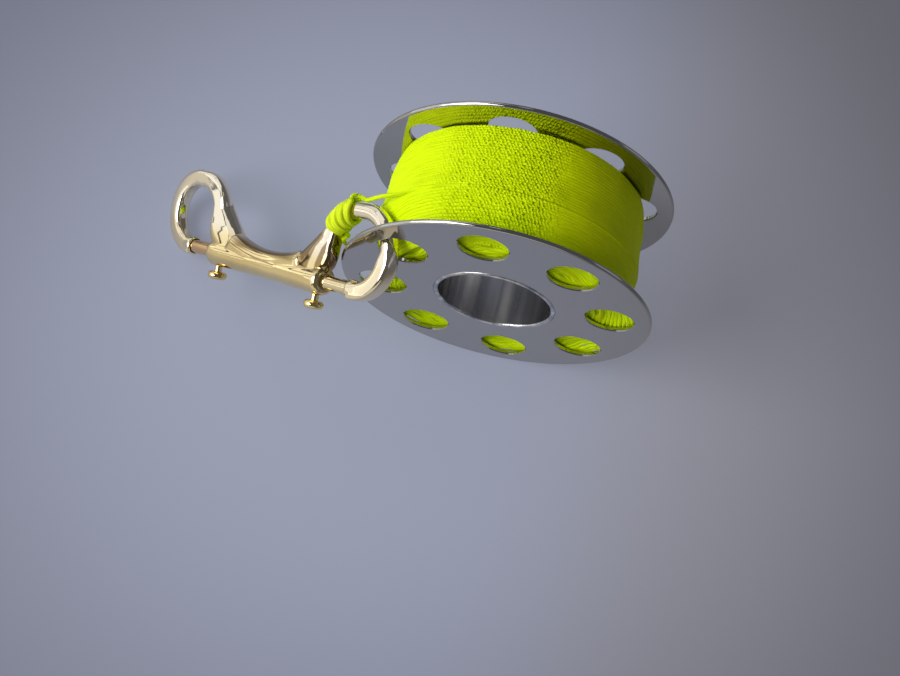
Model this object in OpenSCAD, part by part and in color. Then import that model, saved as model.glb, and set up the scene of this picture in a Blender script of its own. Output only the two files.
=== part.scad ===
// Finger spool for a dive line: two drilled flanges on a hub tube, the wound line,
// and a double-ended bolt snap clipped through one hole of the front flange.
// The origin is the middle of the finger bore. The spool's axis is Y, the front flange
// faces -Y, and +Z is up. The spool stands on its two rims and leans on the snap.

/* [Flanges] */
// Outside diameter of both flanges
flange_d = 95; // [93:0.5:97]
// Thickness of a flange plate
flange_t = 1.5; // [1.2:0.1:1.6]
// Width over the two flanges
spool_w = 39.3; // [39:0.1:40]
// Diameter of the round holes in the flanges
hole_d = 14.6; // [14.4:0.1:15]
// Diameter of the circle that the holes stand on
hole_circle_d = 70; // [69.6:0.1:70.4]
// Number of holes in each flange
hole_count = 8; // [8]
// Angle from +X to the first hole
hole_start = 7; // [6:0.5:8]
// Broken edge round each hole
hole_chamfer = 0.3; // [0.1:0.1:0.4]

/* [Hub] */
// Finger bore through the hub tube
bore_d = 34.5; // [33:0.5:35]
// Wall of the hub tube
hub_wall = 1.5; // [1:0.1:1.6]
// How far the tube's rounded lip stands out of a flange
hub_lip = 0.4; // [0.2:0.1:0.6]

/* [Line] */
// Diameter of the line
line_d = 1.3; // [1.1:0.1:1.3]
// Turns in the outer layer
layer_turns = 20; // [16:1:20]
// Radius of the winding at its middle
wind_mid_r = 39.8; // [39:0.1:39.8]
// Radius of the winding at the front flange
wind_front_r = 31.4; // [31:0.1:31.4]
// Radius of the winding at the rear flange
wind_rear_r = 38.2; // [37:0.1:38.2]
// Full turns of the hitch round the eye of the snap
hitch_turns = 3; // [2:1:3]

/* [Snap] */
// Diameter of the wire of the eyes
eye_wire_d = 5.2; // [4.8:0.1:5.2]
// Radius of the round of an eye, to the middle of its wire
eye_r = 11.9; // [11.9]
// Straight run at the top of an eye
eye_straight = 2.8; // [2.8]
// Middle of an eye along the bar, from the middle of the snap
eye_along = 41.8; // [41.8]
// Middle of an eye off the bar's axis
eye_off = 11.4; // [11.4]
// Half length of the bar, to the mouth of a bolt's bore
bar_half = 29.6; // [29.4:0.1:29.8]
// Diameter of the bar at its ends
bar_end_d = 9; // [8.6:0.1:9.2]
// Diameter of the bar at its middle
bar_mid_d = 8.2; // [7.8:0.1:8.6]
// Travel of a bolt
bolt_travel = 9; // [7:0.5:9]

/* [Bolts and springs] */
// Diameter of a bolt
bolt_d = 4.6; // [4.2:0.1:4.6]
// Running clearance of a bolt in its bore, on the radius
bolt_clearance = 0.08; // [0.05:0.01:0.1]
// Diameter of the stem of a thumb knob
stem_d = 2.4; // [2.2:0.1:2.6]
// Diameter of the head of a thumb knob
knob_d = 6.4; // [5.6:0.2:7]
// Thickness of the head of a thumb knob
knob_t = 2.6; // [2.2:0.1:3]
// Curls of a spring
spring_curls = 6; // [5:1:7]
// Diameter of the spring wire
spring_wire_d = 0.5; // [0.4:0.1:0.6]

/* [Hidden] */
$fn = 96;

flange_r = flange_d / 2;
bore_r = bore_d / 2;
hub_r = bore_r + hub_wall;
inner_w = spool_w - 2 * flange_t;

// Where the middle of the snap's bar stands, and how the snap is turned:
// it leans up from the table, heads towards the front, and rolls its eyes to the rear
snap_at = [-73.6, -17.8, -16.5];
snap_heading = -19;
snap_lean = 35;
snap_roll = 32;

eye_wire_r = eye_wire_d / 2;
eye_half = eye_straight / 2;
bolt_r = bolt_d / 2;
bolt_bore_r = bolt_r + bolt_clearance;
bolt_bore_end = 2;
bolt_tail = 15;
bolt_nose = 42.4;
nose_length = 1.1;
nose_r = 1.3;
tip_face = 41.5;
tip_length = 3.5;
tip_r = 3;
seat_mouth_r = 2.5;
seat_end_r = 1.5;
seat_depth = 1.1;
knob_at = 26;
slot_w = stem_d + 0.4;
back_rise = 1.1;
back_reach = 15;
back_sweep_r = 60;
stem_foot = -0.8;
stem_top = -6.2;
hull_fn = 32;
cut = 1;

// Where the winding changes its slope between the flanges
wind_profile = [[-inner_w / 2, wind_front_r], [-15.6, wind_front_r + 3.4],
    [-13, wind_front_r + 5.4], [-8, wind_mid_r - 0.6], [-3, wind_mid_r], [10, wind_mid_r],
    [15, wind_mid_r - 0.6], [inner_w / 2, wind_rear_r]];

// The outer layer: rings of a loop, sides of the line, and the room left at each flange
loop_rings = 24;
line_sides = 6;
layer_room = 0.35;
layer_end_angle = 205;
layer_span = inner_w - 2 * layer_room - line_d;
layer_pitch = layer_span / layer_turns;
chord_dip = wind_mid_r * (1 - cos(180 / loop_rings));
core_gap = 0.05;

// The hitch lies on the round of the right eye between these angles, and it starts and
// ends these angles round the wire of the eye, counted from the wire's outer side
hitch_from = 106;
hitch_to = 151.5;
hitch_start_turn = 55;
hitch_end_turn = 180 + 360 * hitch_turns;
hitch_r = eye_wire_r + line_d / 2 + 0.1;

function winding_r(y) = lookup(y, wind_profile);

// How far the core lies under the winding's surface at a point of the profile: the outer
// layer fits between the two, also where the profile is steep
function steepest(i) = max([for (k = [max(i - 1, 0):min(i, len(wind_profile) - 2)])
    let (run = wind_profile[k + 1] - wind_profile[k]) abs(run[1] / run[0])]);
function core_drop(i) =
    line_d / 2 + chord_dip + (line_d / 2 + core_gap) * norm([1, steepest(i)]);

// A place on the spool, from its angle, its place along the axis and its radius
function on_spool(p) = [p[2] * cos(p[0]), p[1], p[2] * sin(p[0])];

// A direction or a place of the snap's own frame, in the frame of the part
function turn_x(p, a) = [p[0], p[1] * cos(a) - p[2] * sin(a), p[1] * sin(a) + p[2] * cos(a)];
function turn_y(p, a) = [p[0] * cos(a) + p[2] * sin(a), p[1], p[2] * cos(a) - p[0] * sin(a)];
function turn_z(p, a) = [p[0] * cos(a) - p[1] * sin(a), p[0] * sin(a) + p[1] * cos(a), p[2]];
function from_snap(p) =
    snap_at + turn_z(turn_y(turn_x(p, snap_roll), -snap_lean), snap_heading);

// The lead goes on from the end of the outer layer at the rear flange, crosses the winding
// under the spool, lies on it for the rest of a turn and leaves it at the upper left. Its
// place along Y and its radius depend on the degrees that it has gone.
lead_y = -3.9;
lead_r = wind_mid_r + line_d / 2 + 0.25;
lead_off_at = 490;
lead_along = [[10, 16.8], [15, 16], [20, 14.8], [25, 13.4], [140, lead_y]];
lead_rise = [[10, lead_r - 1.8], [15, lead_r - 0.9], [20, lead_r - 0.4], [25, lead_r - 0.2],
    [35, lead_r]];
lead_route = concat(
    [for (a = [10:5:25]) [layer_end_angle + a, lookup(a, lead_along), lookup(a, lead_rise)]],
    [for (a = [32.5:7.5:lead_off_at - layer_end_angle])
        [layer_end_angle + a, lookup(a, lead_along), lookup(a, lead_rise)]],
    [[495, -4.2, lead_r + 0.1], [500, -4.4, lead_r + 0.5], [505, -4.3, lead_r + 1.4],
        [510, -4.1, lead_r + 2.6]]);
// Then it touches the round of the snap's eye and turns into the hitch: [angle on the eye,
// angle round its wire, distance from it]
lead_turn = [[90, -17, 3.6], [95, -14, 3.7], [99, -7, 4], [101.5, 1, 4.3], [103.2, 9, 4.6]];
// The return goes from the hitch down behind the front flange and back onto the winding
return_route = [[172, -13.4, 48.4], [176, -13.4, 47.3], [180, -12.8, 45.8], [184, -11.6, 44],
    [188, -10, 42.3], [192, -8.2, 41.2], [196, -6.6, 40.4], [200, -5.6, 40.3]];

// A place near the round of the right eye, in the snap's own frame: an angle on the round,
// an angle round the wire and a distance from the middle of the wire
function on_eye(a, b, r) =
    let (out = eye_r + r * cos(b))
    [eye_along - eye_half + out * cos(a), eye_off + out * sin(a), r * sin(b)];

hitch_rings = round((hitch_end_turn - hitch_start_turn) * loop_rings / 360);
function hitch_angle(k) = hitch_from + (hitch_to - hitch_from) * k / hitch_rings;
function hitch_point(k) = on_eye(hitch_angle(k),
    hitch_start_turn + (hitch_end_turn - hitch_start_turn) * k / hitch_rings, hitch_r);

function layer_point(k) =
    let (y = -layer_span / 2 + layer_pitch * k / loop_rings,
        a = layer_end_angle + 360 * (k / loop_rings - layer_turns))
    on_spool([a, y, winding_r(y) - line_d / 2]);

// One unbroken tube of a given radius along a list of points. Each ring is square to the
// route there, and a list of directions says which way its first corner points.
function unit(v) = v / norm(v);
function heading(points, i) =
    unit(points[min(i + 1, len(points) - 1)] - points[max(i - 1, 0)]);
function ring(points, i, toward, r, sides) =
    let (t = heading(points, i), a = unit(toward - (toward * t) * t), b = cross(t, a))
    [for (s = [0:sides - 1])
        points[i] + r * (cos(360 * s / sides) * a + sin(360 * s / sides) * b)];
module tube(points, toward, r, sides) {
    last = len(points) - 1;
    corners = [for (i = [0:last]) each ring(points, i, toward[i], r, sides)];
    walls = [for (i = [0:last - 1], s = [0:sides - 1])
        let (n = (s + 1) % sides, p = i * sides, q = p + sides)
        each [[p + s, q + s, q + n], [p + s, q + n, p + n]]];
    caps = [for (s = [1:sides - 2])
        each [[0, s, s + 1], [last * sides, last * sides + s + 1, last * sides + s]]];
    polyhedron(corners, concat(walls, caps));
}

// A step of one diameter past the first or the last point, in line with the tube
function before(points, d) = points[0] + d * unit(points[0] - points[1]);
function beyond(points, d) =
    let (last = len(points) - 1) points[last] + d * unit(points[last] - points[last - 1]);
function straight_ends(points, d) = concat([before(points, d)], points, [beyond(points, d)]);

layer_points = straight_ends([for (k = [0:layer_turns * loop_rings]) layer_point(k)], line_d);
hitch_points = straight_ends([for (k = [0:hitch_rings]) hitch_point(k)], line_d);
lead_points = concat([layer_points[len(layer_points) - 1], beyond(layer_points, line_d)],
    [for (p = lead_route) on_spool(p)],
    [for (p = lead_turn) from_snap(on_eye(p[0], p[1], p[2]))],
    [from_snap(before(hitch_points, line_d)), from_snap(hitch_points[0])]);
return_points = concat(
    [from_snap(hitch_points[len(hitch_points) - 1]), from_snap(beyond(hitch_points, line_d))],
    [for (p = return_route) on_spool(p)]);
function route_length(points) =
    [for (i = [1:len(points) - 1]) norm(points[i] - points[i - 1])] *
    [for (i = [1:len(points) - 1]) 1];

// Least gap of each wound form to itself, a half turn or more along the tube
function least_gap(points, d) =
    min([for (i = [0:len(points) - 1 - loop_rings / 2])
        min([for (j = [i + loop_rings / 2:min(i + 2 * loop_rings, len(points) - 1)])
            norm(points[i] - points[j])])]) - d;
echo(layer_least_gap = least_gap(layer_points, line_d));
echo(hitch_least_gap = least_gap(hitch_points, line_d));
echo(lead_length = route_length(lead_points), hitch_length = route_length(hitch_points),
    return_length = route_length(return_points), layer_length = route_length(layer_points));

// Turns a shape that is built on Z so that it stands on the spool's axis
module on_axis() rotate([90, 0, 0]) children();

// Puts a shape of the snap's own frame in place: X runs along the bar, Y to the eyes
module in_snap() {
    translate(snap_at)
        rotate([0, 0, snap_heading])
            rotate([0, -snap_lean, 0])
                rotate([snap_roll, 0, 0])
                    children();
}

// A cylinder along X from one place to another
module rod(from, to, r) translate([from, 0, 0]) rotate([0, 90, 0]) cylinder(r = r, h = to - from);
module cone(from, to, r1, r2) {
    translate([from, 0, 0]) rotate([0, 90, 0]) cylinder(r1 = r1, r2 = r2, h = to - from);
}

// A flange plate with a full round rim, eight holes and broken edges
module flange() {
    difference() {
        rotate_extrude() {
            translate([hub_r, -flange_t / 2])
                square([flange_r - flange_t / 2 - hub_r, flange_t]);
            translate([flange_r - flange_t / 2, 0])
                circle(d = flange_t);
        }
        for (k = [0:hole_count - 1])
            rotate([0, 0, hole_start + k * 360 / hole_count])
                translate([hole_circle_d / 2, 0, 0])
                    flange_hole();
    }
}

module flange_hole() {
    cylinder(d = hole_d, h = flange_t + 2 * cut, center = true);
    for (side = [-1, 1])
        scale([1, 1, side])
            translate([0, 0, flange_t / 2 - hole_chamfer])
                cylinder(d1 = hole_d, d2 = hole_d + 4 * hole_chamfer, h = 2 * hole_chamfer);
}

module front_flange() {
    color("#8a8d9b") translate([0, -(spool_w - flange_t) / 2, 0]) on_axis() flange();
}

module rear_flange() {
    color("#7f8390") translate([0, (spool_w - flange_t) / 2, 0]) on_axis() flange();
}

// The hub tube, whose rounded lips stand a little out of the flanges
module hub_tube() {
    straight = spool_w + 2 * hub_lip - hub_wall;
    color("#5c5e66") on_axis() rotate_extrude() {
        translate([bore_r, -straight / 2]) square([hub_wall, straight]);
        for (end = [-1, 1])
            translate([bore_r + hub_wall / 2, end * straight / 2]) circle(d = hub_wall);
    }
}

// All turns of the line under the outer layer
module line_core() {
    inner = hub_r + 0.05;
    last = len(wind_profile) - 1;
    outline = [for (i = [0:last]) [wind_profile[i][1] - core_drop(i), -wind_profile[i][0]]];
    color("#c8e800") on_axis() rotate_extrude()
        polygon(concat([[inner, outline[0][1]]], outline, [[inner, outline[last][1]]]));
}

module line_outer_layer() {
    color("#d9f500")
        tube(layer_points, [for (p = layer_points) [p[0], 0, p[2]]], line_d / 2, line_sides);
}

module line_lead() {
    color("#d0ee00") tube(lead_points, [for (p = lead_points) [p[0], 0, p[2]]], line_d / 2, line_sides);
}

module line_return() {
    color("#b4cc10") tube(return_points, [for (p = return_points) [0, 1, 0]], line_d / 2, 8);
}

module line_hitch() {
    away = [for (k = [-1:hitch_rings + 1])
        hitch_points[k + 1] - on_eye(hitch_angle(k), 0, 0)];
    color("#c4e010") in_snap() tube(hitch_points, away, line_d / 2, line_sides);
}

// One disc of the neck: a round slab of two circles at one height over the bar
module neck_station(height, from, to, r) {
    translate([from, height, 0]) rotate([90, 0, 0]) cylinder(r = r, h = 0.02, $fn = hull_fn);
    translate([to, height, 0]) rotate([90, 0, 0]) cylinder(r = r, h = 0.02, $fn = hull_fn);
}

// The neck flares from the wire of the eye into the bar, most on the side of the waist:
// [height over the bar's axis, least and greatest place along the bar, radius]
neck_left = eye_along - eye_half - eye_r;
neck_stations = [[eye_off + 4.6, neck_left + 0.9, neck_left + 1.1, eye_wire_r - 0.1],
    [eye_off, neck_left - 3.5, neck_left + 0.2, eye_wire_r + 0.05],
    [7, neck_left - 8.2, neck_left, eye_wire_r + 0.4],
    [1.5, neck_left - 15.5, neck_left - 2.9, eye_wire_r + 1.1]];
module neck() {
    for (i = [1:len(neck_stations) - 1])
        hull() for (at = [neck_stations[i - 1], neck_stations[i]])
            neck_station(at[0], at[1], at[2], at[3]);
}

// The eye at the right end: two rounds, a straight top and the tip that the bolt meets
module eye() {
    translate([eye_along + eye_half, eye_off, 0]) rotate([0, 0, -90])
        rotate_extrude(angle = 180) translate([eye_r, 0]) circle(r = eye_wire_r);
    translate([eye_along - eye_half, eye_off, 0]) rotate([0, 0, 90])
        rotate_extrude(angle = 90) translate([eye_r, 0]) circle(r = eye_wire_r);
    translate([0, eye_off + eye_r, 0])
        rod(eye_along - eye_half, eye_along + eye_half, eye_wire_r);
    rod(tip_face, tip_face + tip_length, tip_r);
    neck();
}

// The bore of one bolt, the slot that its knob runs in and the seat in the tip of the eye
module bolt_way() {
    rod(bolt_bore_end, bar_half + cut, bolt_bore_r);
    translate([knob_at - bolt_travel, -bar_end_d, -slot_w / 2])
        cube([bolt_travel, bar_end_d, slot_w]);
    for (at = [knob_at - bolt_travel, knob_at])
        translate([at, 0, 0]) rotate([90, 0, 0]) cylinder(d = slot_w, h = bar_end_d);
    cone(tip_face - 0.1, tip_face + seat_depth, seat_mouth_r + 0.09, seat_end_r);
}

// The bar is turned: it swells from its waist to its ends, and its end edges are rounded
module bar() {
    outline = [[0, -bar_half], [bar_end_d / 2 - 1.2, -bar_half], [bar_end_d / 2 - 0.3, 0.6 - bar_half],
        [bar_end_d / 2, 1.6 - bar_half], [bar_end_d / 2, 5 - bar_half],
        [bar_mid_d / 2, -8], [bar_mid_d / 2, 8],
        [bar_end_d / 2, bar_half - 5], [bar_end_d / 2, bar_half - 1.6],
        [bar_end_d / 2 - 0.3, bar_half - 0.6], [bar_end_d / 2 - 1.2, bar_half], [0, bar_half]];
    rotate([0, 90, 0]) rotate_extrude() polygon(outline);
}

// The back of the bar is raised in one hollow sweep from neck to neck
module back() {
    angle = 2 * asin(back_reach / back_sweep_r);
    translate([0, back_rise + back_sweep_r, 0]) rotate([0, 0, 270 - angle / 2])
        rotate_extrude(angle = angle) translate([back_sweep_r, 0]) circle(d = bar_mid_d - 0.1);
}

module snap_body() {
    color("#cfc08e") in_snap() difference() {
        union() {
            bar();
            back();
            eye();
            mirror([1, 0, 0]) eye();
        }
        bolt_way();
        mirror([1, 0, 0]) bolt_way();
    }
}

module bolt() {
    difference() {
        union() {
            rod(bolt_tail, bolt_nose - nose_length, bolt_r);
            cone(bolt_nose - nose_length, bolt_nose, bolt_r, nose_r);
        }
        translate([knob_at, stem_foot, 0]) rotate([90, 0, 0]) cylinder(d = stem_d, h = bolt_r);
    }
}

// A thumb knob: a stem that stands in the bolt and a flat head with a round edge
module knob() {
    translate([knob_at, 0, 0]) rotate([90, 0, 0]) {
        translate([0, 0, -stem_foot]) cylinder(d = stem_d, h = stem_foot - stem_top + 0.2);
        translate([0, 0, -stem_top]) rotate_extrude() {
            square([(knob_d - knob_t) / 2, knob_t]);
            translate([(knob_d - knob_t) / 2, knob_t / 2]) circle(d = knob_t);
        }
    }
}

// A spring behind a bolt: its curls run from the end of the bore to the bolt's tail
module spring() {
    rings = 8;
    coil_r = bolt_r - spring_wire_d / 2 - 0.1;
    from = bolt_bore_end + spring_wire_d / 2 + 0.1;
    to = bolt_tail - spring_wire_d / 2 - 0.1;
    count = spring_curls * rings;
    points = [for (k = [0:count])
        [from + (to - from) * k / count, coil_r * cos(360 * k / rings), coil_r * sin(360 * k / rings)]];
    tube(points, [for (p = points) [0, p[1], p[2]]], spring_wire_d / 2, 6);
}

module right_bolt() color("#c9b98a") in_snap() bolt();
module left_bolt() color("#c2a27c") in_snap() mirror([1, 0, 0]) bolt();
module right_knob() color("#d6c892") in_snap() knob();
module left_knob() color("#d6c892") in_snap() mirror([1, 0, 0]) knob();
module right_spring() color("#9a9a9a") in_snap() spring();
module left_spring() color("#9a9a9a") in_snap() rotate([0, 180, 0]) spring();

front_flange();
rear_flange();
hub_tube();
line_core();
line_outer_layer();
line_lead();
line_hitch();
line_return();
snap_body();
left_bolt();
right_bolt();
left_knob();
right_knob();
left_spring();
right_spring();
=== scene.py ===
"""Finger spool for a dive line, with its double-ended bolt snap, dressed for rendering.

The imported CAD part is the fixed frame. The script gives every metal node its finish and
builds the soft line and the cast snap again with the detail that the plain solids lack.
Lengths are in metres in the frame of the part, and sizes are written as millimetres
times MM.
"""

from __future__ import annotations

import logging
import math
from dataclasses import dataclass
from enum import Enum
from typing import Any, Sequence

import bmesh
import bpy
import numpy as np
from mathutils import Matrix, Vector, noise

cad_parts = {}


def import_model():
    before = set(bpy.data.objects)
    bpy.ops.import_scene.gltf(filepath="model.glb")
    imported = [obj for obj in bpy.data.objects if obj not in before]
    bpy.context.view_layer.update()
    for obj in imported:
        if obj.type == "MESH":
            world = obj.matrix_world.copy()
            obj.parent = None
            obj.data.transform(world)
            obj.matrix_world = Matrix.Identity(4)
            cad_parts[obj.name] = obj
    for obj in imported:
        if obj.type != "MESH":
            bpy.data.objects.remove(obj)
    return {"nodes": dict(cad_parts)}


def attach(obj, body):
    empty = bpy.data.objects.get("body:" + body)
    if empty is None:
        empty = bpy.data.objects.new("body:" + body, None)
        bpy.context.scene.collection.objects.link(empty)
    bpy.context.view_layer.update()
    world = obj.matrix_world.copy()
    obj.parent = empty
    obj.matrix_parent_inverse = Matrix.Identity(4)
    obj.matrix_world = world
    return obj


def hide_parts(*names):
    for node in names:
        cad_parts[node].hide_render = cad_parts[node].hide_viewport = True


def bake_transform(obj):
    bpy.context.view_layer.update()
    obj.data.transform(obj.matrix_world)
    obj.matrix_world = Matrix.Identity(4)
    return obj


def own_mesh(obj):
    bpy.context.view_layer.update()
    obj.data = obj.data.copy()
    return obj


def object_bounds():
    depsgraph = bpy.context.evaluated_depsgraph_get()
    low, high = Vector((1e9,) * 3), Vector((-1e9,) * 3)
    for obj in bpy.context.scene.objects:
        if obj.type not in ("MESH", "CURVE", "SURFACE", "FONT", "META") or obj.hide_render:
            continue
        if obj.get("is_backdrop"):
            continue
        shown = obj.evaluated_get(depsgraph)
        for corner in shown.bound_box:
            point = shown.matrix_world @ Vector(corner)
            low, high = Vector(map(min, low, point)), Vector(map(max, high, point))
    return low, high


LOG = logging.getLogger("finger_spool")
MM = 0.001

Socket = bpy.types.NodeSocket
Form = tuple[np.ndarray, list[tuple[int, ...]]]


# ---------------------------------------------------------------- colours and nodes


def hex_colour(code: str) -> tuple[float, float, float, float]:
    """Turns an sRGB hex colour into linear values.

    Args:
        code: Six hex digits after a hash sign.

    Returns:
        Linear red, green and blue, and an alpha of one.
    """
    parts = [int(code[i : i + 2], 16) / 255 for i in (1, 3, 5)]
    linear = [p / 12.92 if p <= 0.04045 else ((p + 0.055) / 1.055) ** 2.4 for p in parts]
    return (linear[0], linear[1], linear[2], 1.0)


def add_node(
    tree: bpy.types.NodeTree, kind: str, inputs: dict[Any, Any] | None = None, **settings: Any
) -> bpy.types.Node:
    """Adds a shader node, with its settings and its links.

    Args:
        tree: The node tree of the material.
        kind: Name of the node's type after "ShaderNode".
        inputs: A value or an output socket for each input, by name or number.
        **settings: Attributes of the node.

    Returns:
        The new node.
    """
    made = tree.nodes.new("ShaderNode" + kind)
    for name, value in settings.items():
        setattr(made, name, value)
    for name, value in (inputs or {}).items():
        if isinstance(value, bpy.types.NodeSocket):
            tree.links.new(value, made.inputs[name])
        else:
            made.inputs[name].default_value = value
    return made


@dataclass(frozen=True)
class Painter:
    """Lays out the nodes of one material, in the few steps that the finishes share.

    Attributes:
        tree: The material's node tree.
        shader: Its main shader.
    """

    tree: bpy.types.NodeTree
    shader: bpy.types.Node

    def node(self, kind: str, inputs: dict[Any, Any] | None = None, **settings: Any) -> Any:
        """Adds a node and returns its outputs."""
        return add_node(self.tree, kind, inputs, **settings).outputs

    def place(self) -> Socket:
        """Returns the place in the part."""
        return self.node("TexCoord")["Object"]

    def axes(self, at: Socket) -> Any:
        """Returns the three values of a place."""
        return self.node("SeparateXYZ", {0: at})

    def noise(self, at: Socket, size_mm: float, detail: float) -> Socket:
        """Returns a noise whose features are that many millimetres wide."""
        return self.node("TexNoise", {"Vector": at, "Scale": 1000.0 / size_mm, "Detail": detail})[0]

    def ramp(self, value: Socket, first: float, last: float, low: float = 0.0, high: float = 1.0) -> Socket:
        """Maps a value from one range to another in a straight line, which is level past its ends."""
        return self.node("MapRange", {0: value, 1: first, 2: last, 3: low, 4: high})[0]

    def ease(self, value: Socket, first: float, last: float, low: float = 0.0, high: float = 1.0) -> Socket:
        """Maps a value from one range to another with soft ends."""
        inputs = {0: value, 1: first, 2: last, 3: low, 4: high}
        return self.node("MapRange", inputs, interpolation_type="SMOOTHSTEP")[0]

    def sum(self, operation: str, *values: Any) -> Socket:
        """Returns the outcome of an operation on values."""
        return self.node("Math", dict(enumerate(values)), operation=operation)[0]

    def measure(self, operation: str, at: Socket, other: Sequence[float]) -> Socket:
        """Returns the distance of a place from another, or its dot product with a way."""
        return self.node("VectorMath", {0: at, 1: other}, operation=operation)["Value"]

    def mix(self, share: Socket, first: Any, second: Any) -> Socket:
        """Mixes two colours, each of them a hex colour or a socket."""
        one, two = (hex_colour(c) if isinstance(c, str) else c for c in (first, second))
        return self.node("Mix", {0: share, 6: one, 7: two}, data_type="RGBA")[2]

    def bump(self, height: Socket, strength: Any, depth: float, under: Socket | None = None) -> Socket:
        """Returns the normals of a rough surface, which may lie on another one."""
        inputs = {"Height": height, "Strength": strength, "Distance": depth}
        if under is not None:
            inputs["Normal"] = under
        return self.node("Bump", inputs)[0]

    def use(self, looks: dict[str, Socket]) -> None:
        """Links sockets to the inputs of the main shader, by name."""
        for name, socket in looks.items():
            self.tree.links.new(socket, self.shader.inputs[name])


# ---------------------------------------------------------------------- finishes


@dataclass(frozen=True)
class Finish:
    """A finish: what a surface is made of and how it was worked."""

    name: str
    colour: str
    metallic: float = 0.0
    roughness: float = 0.5

    def material(self) -> bpy.types.Material:
        """Makes the material, or returns it if it was made before."""
        made = bpy.data.materials.get(self.name)
        if made is None:
            made = bpy.data.materials.new(self.name)
            made.use_nodes = True
            shader = made.node_tree.nodes["Principled BSDF"]
            shader.inputs["Base Color"].default_value = hex_colour(self.colour)
            shader.inputs["Metallic"].default_value = self.metallic
            shader.inputs["Roughness"].default_value = self.roughness
            self.paint(Painter(made.node_tree, shader))
        return made

    def paint(self, by: Painter) -> None:
        """Adds the detail of the finish.

        Args:
            by: The painter of the material.
        """


@dataclass(frozen=True)
class LappedStainless(Finish):
    """Stainless sheet, laser cut and lapped: a soft mirror with hairlines and smudges."""

    hairline_mm: float = 0.12
    smudge_mm: float = 14.0

    def paint(self, by: Painter) -> None:
        """Adds lapping hairlines, handling smudges and a faint waviness of the sheet."""
        place = by.place()
        smudge = by.noise(place, self.smudge_mm, 3.0)
        # Lapping leaves hairlines 0.02 mm wide; they are drawn coarser so that they show
        grain = by.node("Mapping", {"Vector": place, "Rotation": (0, 0.6, 0), "Scale": (1, 1, 0.04)})[0]
        lines = by.noise(grain, self.hairline_mm, 2.0)
        gloss = by.ramp(smudge, 0.3, 0.75, self.roughness, self.roughness + 0.04)
        by.use({"Roughness": gloss, "Normal": by.bump(lines, 0.05, 0.00002)})


@dataclass(frozen=True)
class BrushedBore(Finish):
    """Stainless tube, brushed along its bore: dark and light streaks run along the axis."""

    streak_mm: float = 4.6
    streak_run: float = 0.03
    streak_colour: str = "#B2B3B6"
    bore_r: float = 17.25 * MM

    def paint(self, by: Painter) -> None:
        """Adds streaks that are narrow round the tube and long along it."""
        axes = by.axes(by.place())
        around = by.sum("MULTIPLY", by.sum("ARCTAN2", axes[0], axes[2]), self.bore_r)
        along = by.sum("MULTIPLY", axes[1], self.streak_run)
        streaks = by.noise(by.node("CombineXYZ", {0: around, 1: along})[0], self.streak_mm, 4.0)
        shade = by.mix(by.ramp(streaks, 0.42, 0.6), self.streak_colour, self.colour)
        gloss = by.ramp(streaks, 0.3, 0.7, self.roughness + 0.1, self.roughness)
        by.use({"Base Color": shade, "Roughness": gloss, "Normal": by.bump(streaks, 0.35, 0.00006)})


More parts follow.
